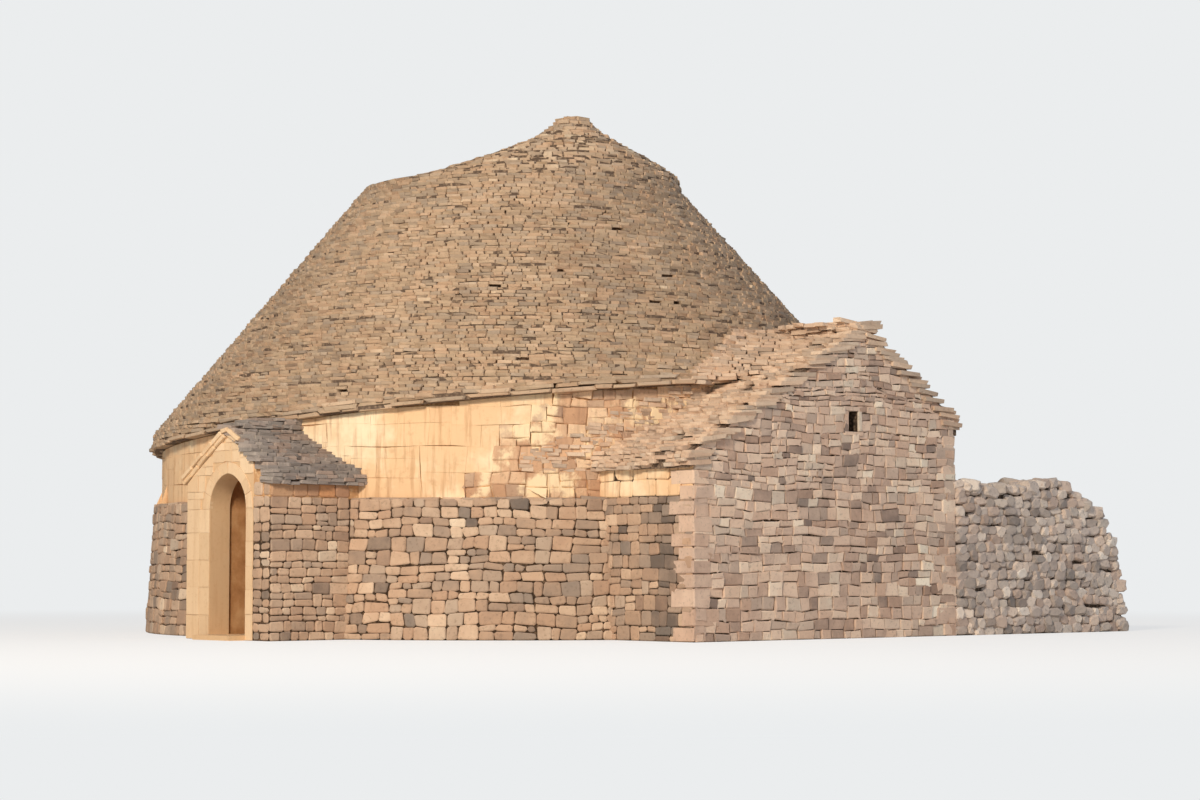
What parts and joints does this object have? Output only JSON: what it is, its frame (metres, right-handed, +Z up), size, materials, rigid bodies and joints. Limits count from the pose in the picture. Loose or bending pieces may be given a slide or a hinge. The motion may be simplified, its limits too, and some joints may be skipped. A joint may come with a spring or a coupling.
{
  "type": "trullo house",
  "caption": "Round dry-stone house with a tall stone-slab cone roof over a corbelled vault, a gabled entrance porch and a lower gabled annex.",
  "frame": {"origin": "centre of the round room at ground level, on the underside of the paving", "axes": "+Z up; the porch faces -X; the annex gable faces -Y; the low rubble wall runs on towards +X"},
  "size_m": [12.45, 11.4099, 7.51],
  "materials": {
    "wall_rubble": "matt",
    "plastered_wall": "matt",
    "roof_slabs": "matt",
    "cut_stone": "matt",
    "vault_stone": "matt",
    "rubble_fill": "matt",
    "paving": "satin",
    "loose_rubble": "matt"
  },
  "bodies": {
    "root": {"annex_gable_wall": "wall_rubble", "annex_left_haunch": "wall_rubble", "annex_left_wall": "wall_rubble", "annex_ridge_stones": "roof_slabs", "annex_right_haunch": "wall_rubble", "annex_right_wall": "wall_rubble", "annex_roof_left": "roof_slabs", "annex_roof_right": "roof_slabs", "back_haunch_left": "plastered_wall", "back_haunch_right": "plastered_wall", "back_wall_left": "wall_rubble", "back_wall_right": "wall_rubble", "crown_fill": "rubble_fill", "floor_paving": "paving", "front_haunch_left": "plastered_wall", "front_haunch_right": "plastered_wall", "front_wall_left": "wall_rubble", "front_wall_right": "wall_rubble", "left_haunch_back": "plastered_wall", "left_haunch_front": "plastered_wall", "left_wall_back": "wall_rubble", "left_wall_front": "wall_rubble", "porch_ceiling": "wall_rubble", "porch_coping_left": "cut_stone", "porch_coping_right": "cut_stone", "porch_left_wall": "wall_rubble", "porch_right_wall": "wall_rubble", "porch_roof_left": "roof_slabs", "porch_roof_right": "roof_slabs", "portal_arch_left": "cut_stone", "portal_arch_right": "cut_stone", "portal_gable_left": "cut_stone", "portal_gable_right": "cut_stone", "portal_jamb_left": "cut_stone", "portal_jamb_right": "cut_stone", "right_haunch_back": "plastered_wall", "right_haunch_front": "plastered_wall", "right_wall_back": "wall_rubble", "right_wall_front": "wall_rubble", "roof_cap": "roof_slabs", "roof_covering_1": "roof_slabs", "roof_covering_2": "roof_slabs", "roof_covering_3": "roof_slabs", "roof_covering_4": "roof_slabs", "roof_covering_5": "roof_slabs", "roof_covering_6": "roof_slabs", "roof_top_stone": "roof_slabs", "rubble_wall": "loose_rubble", "threshold": "cut_stone", "vault_closing_slab": "roof_slabs", "vault_lower_ring": "vault_stone", "vault_middle_ring": "vault_stone", "vault_upper_ring": "vault_stone"}
  },
  "joints": []
}
